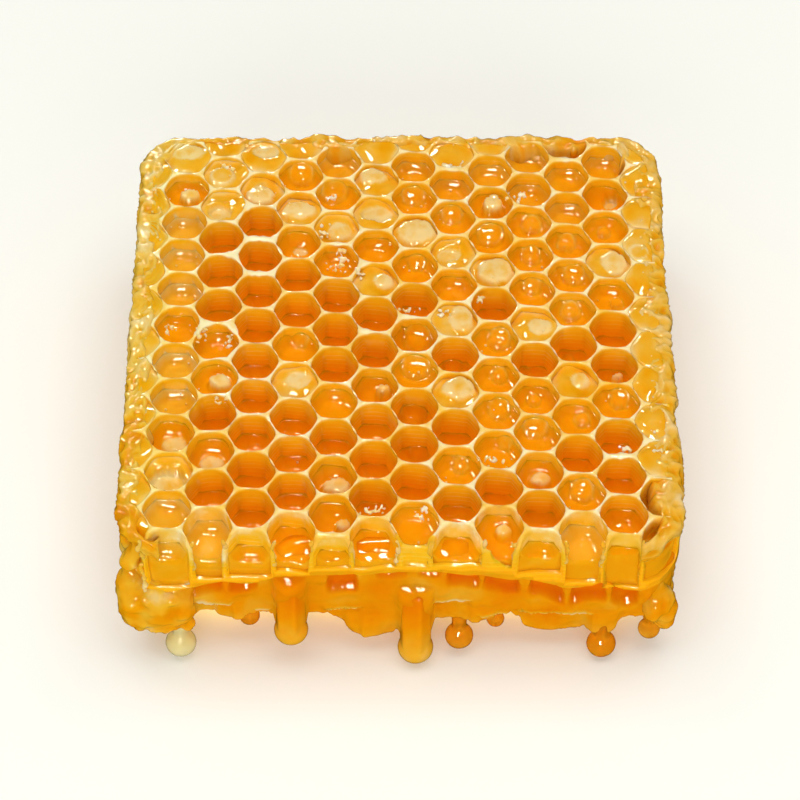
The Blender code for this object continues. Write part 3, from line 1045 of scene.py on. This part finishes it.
# Cells of the lower layer that the front cut opened: X, half width, height below the ledge.
ARCHES = (
    (-22.8, 2.6, 3.6), (-17.9, 1.7, 3.4), (-6.6, 1.9, 5.4), (-1.0, 1.8, 3.0), (3.4, 1.3, 3.2),
    (7.2, 2.0, 4.6), (11.6, 2.2, 4.8), (16.8, 2.2, 5.0), (21.6, 2.2, 5.2), (25.8, 1.7, 4.6),
)
# Thick honey over them: X, half width, lowest and highest reach, how far it stands out.
BULGES = (
    (-12.6, 2.0, 4.4, 14.8, 1.3), (1.8, 2.1, 2.4, 12.8, 1.2), (-3.4, 3.0, 2.4, 8.0, 0.8),
    (17.6, 3.6, 3.0, 7.2, 0.4), (-19.6, 1.8, 6.0, 9.8, 0.5), (23.4, 1.9, 3.0, 8.2, 0.6),
    (9.2, 2.0, 4.8, 8.6, 0.4),
)
# Fine ridges of wax across it: from X to X, height.
TIERS = (
    (-23.6, -19.0, 9.85), (3.6, 8.4, 10.25), (13.4, 22.4, 7.85), (-8.8, -4.2, 8.6), (9.0, 12.8, 7.6),
    (-17.0, -14.8, 8.4),
)
# How far the honey reaches up over the ledge, into the cut cells of the upper layer.
SKIRT = 2.2
# Half its width, where it starts to turn the corners, and their radius.
CURTAIN_HALF = 31.3
CURTAIN_TURNS = 27.0
CURTAIN_CORNER = 5.0


def curtain_shape(x, z, low, high):
    """How far the honey under the ledge stands out and its tone, at a place in millimetres. The tone holds
    painted shade, darker inside the cut cells' arches and up under the ledge, and painted light and shade on
    the bulges.
    """
    up = (z - low) / (high - low)
    out = 0.40 * ripple(x * 0.33, z * 0.25, 3.0) + 0.12 * ripple(x * 1.1, z * 0.9, 5.0)
    out -= 1.3 * max(0.0, 1 - up / 0.12) ** 2
    # Painted shade: darker up towards the ledge, under its overhang.
    tone = 0.05 - 0.25 * min(1.0, up) + 0.55 * ripple(x * 0.22, z * 0.3, 8.0)
    under = high - z
    for middle, half, tall in ARCHES:
        across = abs(x - middle) / half
        if across < 1.4 and under > 0:
            sides = 1 - ease((across - 0.74) / 0.30)
            inside = sides * ease((under - 0.20 - 0.9 * across * across) / 0.35)
            inside *= 1 - ease((under - tall + 1.2) / 1.5)
            edge = 4 * inside * (1 - inside) * (under < tall * 0.6)
            # Painted shade: the tone is darker inside each arch, in its recess; the pale line along its edge
            # is wax.
            out += 0.22 * edge - 1.1 * inside
            tone += 0.55 * edge - 1.0 * inside
    for middle, half, bottom, top, stands in BULGES:
        across = 1 - ((x - middle) / half) ** 2
        if across > 0 and bottom < z < top:
            ends = min(1.0, (z - bottom) / half, (top - z) / half)
            full = math.sqrt(across) * math.sqrt(max(0.0, 1 - (1 - ends) ** 2))
            out += stands * full
            # Painted light and shade: each bulge is paler at its lower end, where it gathers light like a
            # lens, and darker up towards the ledge.
            tone += (0.55 - 1.1 * (z - bottom) / (top - bottom) - tone) * full * 0.8
    for start, end, height in TIERS:
        if start < x < end:
            ends = ease(min(x - start, end - x) / 0.5)
            wavy = height + 0.22 * ripple(x * 0.9, 0, height)
            line = bell(z - wavy, 0.16) * ends
            out += 0.30 * line - 0.35 * ends * ease((wavy - z) / 0.2)
            tone += 0.85 * line
    nearest = min(abs(x - middle) / half for middle, half, _ in ARCHES)
    ridge = bell(under - 0.02 - 0.55 * min(1.0, nearest) ** 3, 0.15)
    broken = 0.6 + 1.1 * ripple(x * 0.8, 0, 1.0)
    out += (0.20 + 0.22 * broken) * ridge + 0.30 * ease((0.4 - under) / 0.5)
    tone += 1.25 * ridge * broken + 0.45 * ease((-20.5 - x) / 2.5)
    if under < 0:
        over = -under / SKIRT
        out -= 1.9 * over * over
        tone += 0.25 * (1 - over) + 0.55 * CHANNELS[channel_of(x * MM)][1]
    return out, tone


def make_curtain(finish):
    """The honey that has run down the cut front of the lower layer and set there, arch by arch."""
    bm = bmesh.new()
    bmesh.ops.create_grid(bm, x_segments=260, y_segments=64, size=1.0)
    layer = bm.verts.layers.float.new("tone")
    for vert in bm.verts:
        x = vert.co.x * CURTAIN_HALF
        low = follow(LIP, x * MM) / MM + 0.30 * ripple(x * 1.3, 0, 1.0)
        low += 0.22 * ripple(x * 3.6, 0, 2.0)
        for middle, half, bottom, _, _ in BULGES:
            across = 1 - ((x - middle) / half) ** 2
            if across > 0:
                low = min(low, bottom + (low - bottom) * (1 - math.sqrt(across)))
        high = sum(follow(LEDGE, (x + off) * MM) for off in (-0.6, 0.0, 0.6)) / 3 / MM
        z = low + (high + SKIRT - low) * (vert.co.y + 1) / 2
        out, tone = curtain_shape(x, z, low, high)
        corner = max(0.0, abs(x) - CURTAIN_TURNS)
        y = CUT / MM + 0.9 - out + CURTAIN_CORNER - math.sqrt(CURTAIN_CORNER ** 2 - corner * corner)
        vert.co = Vector((x, y, z)) * MM
        vert[layer] = clamp(tone)
    grown = bmesh.ops.extrude_face_region(bm, geom=bm.faces[:])
    for vert in verts_of(grown):
        vert.co.y = max(vert.co.y, CUT + 0.0022) + 0.0018
        vert.co.z += 0.0004 * (1 if vert.co.z < 0.009 else -1)
    bmesh.ops.recalc_face_normals(bm, faces=bm.faces)
    return add_piece(bm, "front_curtain", finish, ("comb",))


def make_ribs(finish):
    """The torn edges of the cell walls that the front cut went through."""
    chance = random.Random(31)
    bm = bmesh.new()
    for _, _, middle, _ in upper_places():
        middle = uneven(middle.to_3d())
        off = abs(CUT - middle.y)
        if off > ROW / 2 or abs(middle.x) > WIDTH / 2:
            continue
        for side in (-1, 1):
            x = (middle.x + side * (REACH - off * TAN_30)) / MM
            if abs(x) > 29.5:
                continue
            z, bottom = TOP / MM - 0.5, follow(LEDGE, x * MM) / MM + 0.3
            while z > bottom:
                wander = 0.35 * ripple(z * 0.6, x, 1.0)
                size = 0.13 + 0.22 * ripple(z * 0.9, x * 3, 9.0)
                y = CUT + (0.36 + 0.30 * ripple(z * 0.6, x, 6.0)) * MM
                if size > 0.07:
                    blob(bm, ((x + wander) * MM, y, z * MM), (size, size * 1.2, size * 1.3), detail=1)
                if chance.random() < 0.06:
                    lump = chance.uniform(0.22, 0.40)
                    blob(bm, ((x + wander) * MM, y, z * MM), (lump, lump, lump * 1.3), detail=1)
                z -= chance.uniform(0.10, 0.24)
    skin = melted(bm, "torn_edges", 0.13, 2, 0.05, 5.0)
    toned(skin, rough_tone(0.25, 1.1, 500))
    return add_piece(skin, "torn_edges", finish, ("comb",))


# Torn whitish wax: column, step, X and Y off the middle, half width and half depth of the patch.
FLAKES = (
    (4, 2, 0.3, -1.2, 1.6, 1.0), (4, 2, 0.6, 0.6, 0.6, 1.0), (4, 0, -1.3, -0.9, 0.7, 1.2),
    (9, -3, -1.5, -1.6, 1.2, 0.8), (8, 4, -1.7, 0.6, 0.6, 0.7), (7, 5, -1.2, 0.6, 0.7, 0.6),
    (6, 4, -0.6, -2.0, 1.4, 0.4), (7, -5, 0.0, -2.2, 1.6, 0.5), (1, 7, -1.6, 0.6, 0.6, 1.2),
    (1, 7, 1.6, -0.4, 0.6, 1.0), (0, 6, -1.0, -0.8, 0.9, 0.7), (1, 11, 1.0, 1.5, 0.9, 0.6),
    (5, 15, 0.2, -2.1, 1.6, 0.5), (4, -2, -1.0, -0.6, 0.7, 0.6), (1, -3, 0.2, 0.7, 1.0, 0.7),
    (5, 3, -1.8, 0.6, 0.5, 0.9), (11, 11, 0.4, -2.0, 1.0, 0.5), (8, 12, -1.0, -1.8, 1.5, 0.4),
    (6, 16, 0.8, 0.6, 0.8, 0.9), (12, 12, -0.4, 1.0, 0.8, 0.6),
)


def place_in(column, step, right, back, depth):
    """A place in a cell, given where it seems to lie on the rim's plane and how deep it really is."""
    middle = uneven(cell_middle(column, step).to_3d())
    return Vector((middle.x + right * MM, middle.y + (back + SEEN_SHIFT * depth) * MM, TOP - depth * MM))


def make_flakes(finish):
    chance = random.Random(41)
    bm = bmesh.new()
    for column, step, right, back, half_wide, half_deep in FLAKES:
        for _ in range(int(9 + 8 * half_wide * half_deep)):
            off_x, off_y = chance.uniform(-1, 1) * half_wide, chance.uniform(-1, 1) * half_deep
            place = place_in(column, step, right + off_x, back + off_y, chance.uniform(0.1, 0.7))
            size = chance.uniform(0.16, 0.42)
            turn = (chance.uniform(0, 3), chance.uniform(0, 3), chance.uniform(0, 3))
            radii = (size, size * chance.uniform(0.5, 1.0), size * chance.uniform(0.25, 0.6))
            blob(bm, place, radii, turn, 1)
    skin = melted(bm, "flakes", 0.12, 1, 0.06, 2.0)
    toned(skin, lambda point: 0.3 + 1.2 * noise.noise(point * 700))
    return add_piece(skin, "flakes", finish)


def make_specks(finish):
    """Small bubbles and crumbs that lie on the honey, most of them near the walls."""
    chance = random.Random(51)
    bm = bmesh.new()
    for column, step, middle, letter in upper_places():
        if abs(middle.x) > WIDTH / 2 - 0.001 or abs(middle.y - MIDDLE_Y) > DEPTH / 2 - 0.002:
            continue
        middle = uneven(middle.to_3d())
        for _ in range(chance.choice((0, 1, 2, 3, 4) if letter in "bmrf" else (0, 0, 1))):
            angle, share = chance.uniform(0, 2 * math.pi), chance.uniform(0.45, 0.97)
            x, y = 2.35 * share * math.cos(angle), 2.25 * share * math.sin(angle)
            down, _ = pool_surface((column, step), letter, HONEY_DOWN[letter], x, y, share, 1.0)
            size = chance.uniform(0.07, 0.20)
            if abs(middle.x + x * MM) > WIDTH / 2 - 0.0015:
                continue
            blob(bm, (middle.x + x * MM, middle.y + y * MM, TOP - down * MM), (size, size, size), detail=1)
    toned(bm, lambda point: -0.2 + 1.4 * noise.noise(point * 900))
    return add_piece(bm, "specks", finish)


# The hanging drops: the neck's top and thickness, in millimetres; each round part fills its solid's box.
NECKS = {
    1: (6.2, 1.1), 2: (7.4, 1.0), 3: (15.0, 1.5), 4: (13.0, 1.6), 5: (6.6, 1.1), 6: (7.0, 0.9),
    7: (6.0, 1.2), 8: (8.6, 1.0),
}
# A solid taller than this, in millimetres, is a thick run of honey with a round end.
RUN_HEIGHT = 6


def make_drops(pale, golden, amber):
    """The drops: a round ball where each solid ends, drawn up into the honey that it hangs from."""
    finishes = {1: pale, 3: amber, 4: amber}
    for number, (neck_top, thick) in NECKS.items():
        name = f"drop_{number}"
        low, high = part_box(name)
        wide = (high.x - low.x) / 2 / MM
        middle = (low + high) / 2
        tall = (high.z - low.z) / MM
        bm = bmesh.new()
        ball = Vector((middle.x, middle.y, low.z + wide * MM))
        blob(bm, ball, (wide, wide * 0.95, wide), detail=3)
        if tall > RUN_HEIGHT:
            back = Vector((middle.x, middle.y + 0.0016, high.z - wide * MM))
            strand(bm, ball + Vector((0, 0, 0.6 * MM)), back, wide, wide, 14)
        else:
            back = Vector((middle.x, middle.y + 0.0012, neck_top * MM))
            strand(bm, ball + Vector((0, 0, wide * 0.4 * MM)), back, thick * 0.95, thick, 6)
        skin = melted(bm, name, 0.16, 8)
        # Painted light and shade: each drop is paler at its round lower end, where it gathers light like a
        # lens, and darker up towards the comb.
        bottom, top = (0.55, -0.8) if tall > RUN_HEIGHT else (0.6, 0.1)
        toned(skin, lambda point: bottom + (top - bottom) * ease((point.z - low.z) / (high.z - low.z)))
        add_piece(skin, f"hanging_{name}", finishes.get(number, golden), (name,))


# ---------------------------------------------------------------- floor, light and camera

def make_floor():
    bm = bmesh.new()
    bmesh.ops.create_grid(bm, x_segments=1, y_segments=1, size=1.5)
    floor = loose_object(bm, "floor")
    paper = Finish("pale_paper")
    paper.set(Roughness=0.9, Specular_IOR_Level=0.0)
    paper.shader.inputs["Base Color"].default_value = (0.83, 0.83, 0.772, 1.0)
    paper.shader.inputs["Emission Color"].default_value = (1.0, 1.0, 0.93, 1.0)
    paper.set(Emission_Strength=0.13)
    floor.data.materials.append(paper.material)
    floor.visible_glossy = False


def area_light(name, place, target, size, watts, colour, seen_by):
    """A rectangle of light that shows only in the kinds of rays that it is seen by."""
    data = bpy.data.lights.new(name, "AREA")
    data.shape = "RECTANGLE"
    data.size, data.size_y = size
    data.energy = watts
    data.color = colour
    light = added(name, data)
    aimed(light, place, target)
    light.visible_camera = False
    light.visible_diffuse = "diffuse" in seen_by
    light.visible_glossy = "glossy" in seen_by
    light.visible_transmission = "transmission" in seen_by


PLAIN, WARM, AMBER = (1, 1, 1), (1.0, 0.88, 0.64), (1.0, 0.75, 0.05)
SOFT, GLINT = ("diffuse", "transmission"), ("glossy",)
# The lights: name, place, target, size, watts, colour, seen by.
LIGHTS = (
    ("overhead_softbox", (0, 0.05, 0.90), (0, 0, 0), (0.95, 0.75), 5.7, PLAIN, SOFT),
    ("front_softbox", (0, -0.60, 0.30), (0, 0, 0), (0.60, 0.30), 1.75, PLAIN, SOFT),
    ("overhead_glints", (-0.06, 0.14, 0.80), (0, 0, 0), (0.13, 0.11), 2.6, WARM, GLINT),
    ("left_glints", (-0.42, 0.10, 0.28), (0, 0, 0.01), (0.04, 0.14), 1.3, WARM, GLINT),
    ("back_glints", (-0.14, 0.55, 0.18), (0, 0, 0.01), (0.18, 0.05), 1.5, WARM, GLINT),
    ("front_glints", (-0.10, -0.50, 0.42), (0, 0, 0.01), (0.15, 0.15), 2.8, WARM, GLINT),
    ("glow_under_the_comb", (0, -0.024, 0.0040), (0, -0.046, 0), (0.056, 0.012), 0.0032, AMBER, ("diffuse",)),
)


def make_light():
    world = bpy.data.worlds.new("studio")
    world.use_nodes = True
    background = world.node_tree.nodes["Background"]
    background.inputs["Color"].default_value = (1.0, 1.0, 0.99, 1.0)
    background.inputs["Strength"].default_value = 0.35
    world.cycles_visibility.glossy = False
    bpy.context.scene.world = world
    for light in LIGHTS:
        area_light(*light)


def make_camera():
    data = bpy.data.cameras.new("camera")
    data.lens = 130.5
    data.sensor_width = 36
    data.clip_start = 0.01
    camera = added("camera", data)
    aimed(camera, (0, -0.2216, 0.28339), (0, -0.0105, 0.0227))
    bpy.context.scene.camera = camera


def build():
    scene = bpy.context.scene
    scene.view_settings.view_transform = "Standard"
    scene.cycles.max_bounces = 10
    scene.cycles.transmission_bounces = 8
    scene.cycles.diffuse_bounces = 4
    scene.cycles.glossy_bounces = 3
    make_floor()
    make_light()
    make_camera()
    film, drop = (300, 0.2, 0.15), {"rough": 0.03, "scatter": 1.5, "mottles": 0.04, "relief": (300, 0.1, 0.1)}
    # The wax and the honey in the cells carry a painted glow.
    wax = comb_finish("wax", WAX_STOPS, 0.25, 0.28, glow=0.14, growth=0.26)
    pools = comb_finish("cell_honey", POOL_STOPS, 0.05, 0.25, clear=0.1, mottles=0.07, relief=film, glow=0.14)
    edges = comb_finish("set_honey", EDGE_STOPS, 0.06, 0.4, clear=0.15, relief=(900, 0.5, 0.15))
    curtain = comb_finish(
        "running_honey", CURTAIN_STOPS, 0.05, 0.8, clear=0.1, mottles=0.06, relief=(500, 0.25, 0.15),
    )
    torn = comb_finish("torn_wax", TORN_STOPS, 0.3, 0.6, relief=(1300, 0.35, 0.1))
    pale = comb_finish("pale_drop", PALE_STOPS, clear=0.35, **drop)
    golden = comb_finish("golden_drop", CURTAIN_STOPS, clear=0.6, **drop)
    make_upper_wax(wax)
    make_lower_wax(wax)
    make_cell_honey(pools)
    make_lower_honey(curtain)
    make_lip_honey(curtain)
    make_curtain(curtain)
    make_side_honey(edges)
    make_border_honey(edges)
    make_ribs(edges)
    make_flakes(torn)
    make_specks(torn)
    make_drops(pale, golden, curtain)


build()
